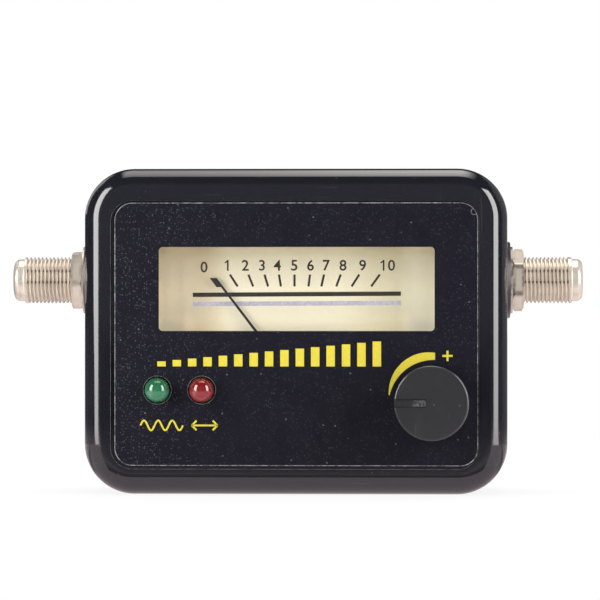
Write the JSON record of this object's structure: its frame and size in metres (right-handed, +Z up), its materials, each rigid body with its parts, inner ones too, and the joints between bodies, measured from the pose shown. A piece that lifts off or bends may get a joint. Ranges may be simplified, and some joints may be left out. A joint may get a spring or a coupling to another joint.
{
  "type": "satellite signal meter",
  "caption": "Pocket satellite signal meter: moving coil dial with a swinging pointer, signal lamps, turning sensitivity knob and threaded coaxial aerial connectors.",
  "frame": {"origin": "bottom centre of the whole part, on the surface that the case stands on", "axes": "+X to the right as the dial is read, +Y from the front face to the back, +Z up"},
  "size_m": [0.1176, 0.0396, 0.0662],
  "materials": {
    "case_black": "glossy black moulded plastic with fine dust and scratches",
    "label_film": "printed matte film, blue black",
    "screw_steel": "zinc plated steel",
    "window_clear": "clear polystyrene",
    "meter_base": "black moulded plastic",
    "dial_card": "printed cream card",
    "pointer_black": "black painted aluminium",
    "aluminium": "bare aluminium",
    "copper_wire": "enamelled copper",
    "pivot_steel": "hardened steel",
    "magnet": "sintered magnet",
    "soft_iron": "nickel plated iron",
    "brass": "brass",
    "tinned_copper": "tinned wire",
    "green_lens": "tinted clear epoxy, green",
    "red_lens": "tinted clear epoxy, red",
    "knob_grey": "satin charcoal plastic",
    "control_metal": "plated steel",
    "phenolic": "brown phenolic with a carbon track",
    "board_green": "green solder mask",
    "chip_black": "moulded epoxy",
    "capacitor_sleeve": "printed sleeve",
    "ceramic": "ceramic",
    "nickel": "nickel plate, slightly worn",
    "insulator": "white plastic"
  },
  "bodies": {
    "case": {"front_cover": "case_black", "rear_cover": "case_black", "front_label": "label_film", "case_screws": "screw_steel", "meter_window": "window_clear", "meter_base": "meter_base", "dial_plate": "dial_card", "core_magnet": "magnet", "core_carrier": "brass", "magnet_yoke": "soft_iron", "front_bridge": "brass", "bridge_screws": "screw_steel", "front_hairspring": "brass", "rear_hairspring": "brass", "meter_terminals": "tinned_copper", "green_led": "green_lens", "red_led": "red_lens", "led_leads": "tinned_copper", "pot_housing": "control_metal", "pot_track": "phenolic", "pot_pins": "tinned_copper", "circuit_board": "board_green", "buzzer": "chip_black", "buzzer_pins": "tinned_copper", "electrolytic_capacitors": "capacitor_sleeve", "signal_ic": "chip_black", "signal_ic_legs": "tinned_copper", "chip_resistors": "chip_black", "chip_capacitors": "ceramic", "chokes": "magnet", "transistors": "chip_black", "left_port_body": "nickel", "left_port_insulator": "insulator", "left_port_contact": "brass", "left_port_washer": "nickel", "left_port_nut": "nickel", "right_port_body": "nickel", "right_port_insulator": "insulator", "right_port_contact": "brass", "right_port_washer": "nickel", "right_port_nut": "nickel"},
    "knob": {"sensitivity_knob": "knob_grey", "pot_shaft": "control_metal", "pot_wiper": "phenolic"},
    "movement": {"pointer": "pointer_black", "coil_former": "aluminium", "coil_winding": "copper_wire", "pivot_pins": "pivot_steel"}
  },
  "joints": [
    {"name": "knob_turn", "type": "hinge", "parent": "case", "child": "knob", "pos_m": [0.0275, -0.01025, 0.0189], "axis": [0, 1, 0], "range_deg": [-60, 240]},
    {"name": "pointer_swing", "type": "hinge", "parent": "case", "child": "movement", "pos_m": [-0.00026, -0.00135, 0.02291], "axis": [0, 1, 0], "range_deg": [0, 77], "stiffness_Nm_per_rad": 0.00002, "springref_deg": -5.73, "deforming": ["front_hairspring", "rear_hairspring"]}
  ]
}
